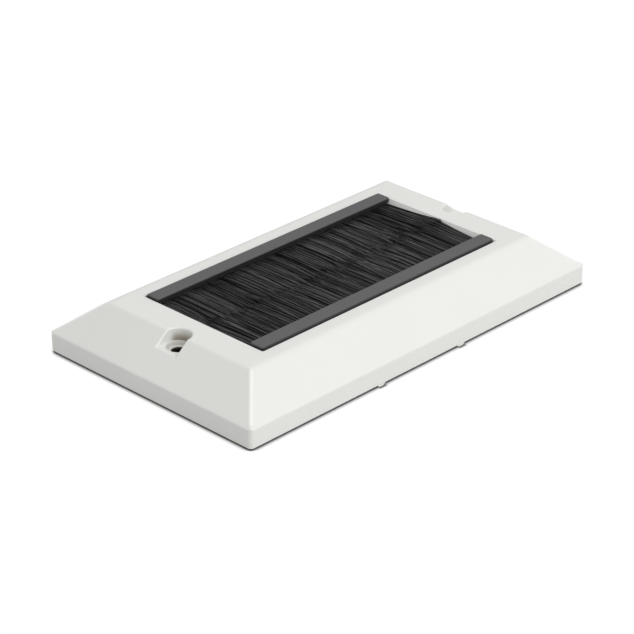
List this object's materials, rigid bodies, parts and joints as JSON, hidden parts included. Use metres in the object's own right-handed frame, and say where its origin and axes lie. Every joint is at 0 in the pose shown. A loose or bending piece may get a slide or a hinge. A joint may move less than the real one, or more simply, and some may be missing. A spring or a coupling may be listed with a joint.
{
  "type": "brush wall plate",
  "caption": "Wide bevelled wall plate whose cable opening is closed by facing rows of bristles held under dark bars, with screw pockets at its ends.",
  "frame": {"origin": "middle of the plate, on the wall plane that the feet touch", "axes": "+X along the long side, +Y across it (up on the wall), +Z out of the wall through the flat front face"},
  "size_m": [0.146, 0.086, 0.0175],
  "materials": {
    "plate": "satin moulded white",
    "holder": "matt dark grey",
    "channel": "zinc plated",
    "wire": "plain drawn wire",
    "bristle": "black nylon filament"
  },
  "bodies": {
    "root": {"faceplate": "plate", "upper_strip_holder": "holder", "lower_strip_holder": "holder", "upper_crimp_channel": "channel", "lower_crimp_channel": "channel", "upper_core_wire": "wire", "lower_core_wire": "wire", "upper_bristles": "bristle", "lower_bristles": "bristle"}
  },
  "joints": []
}
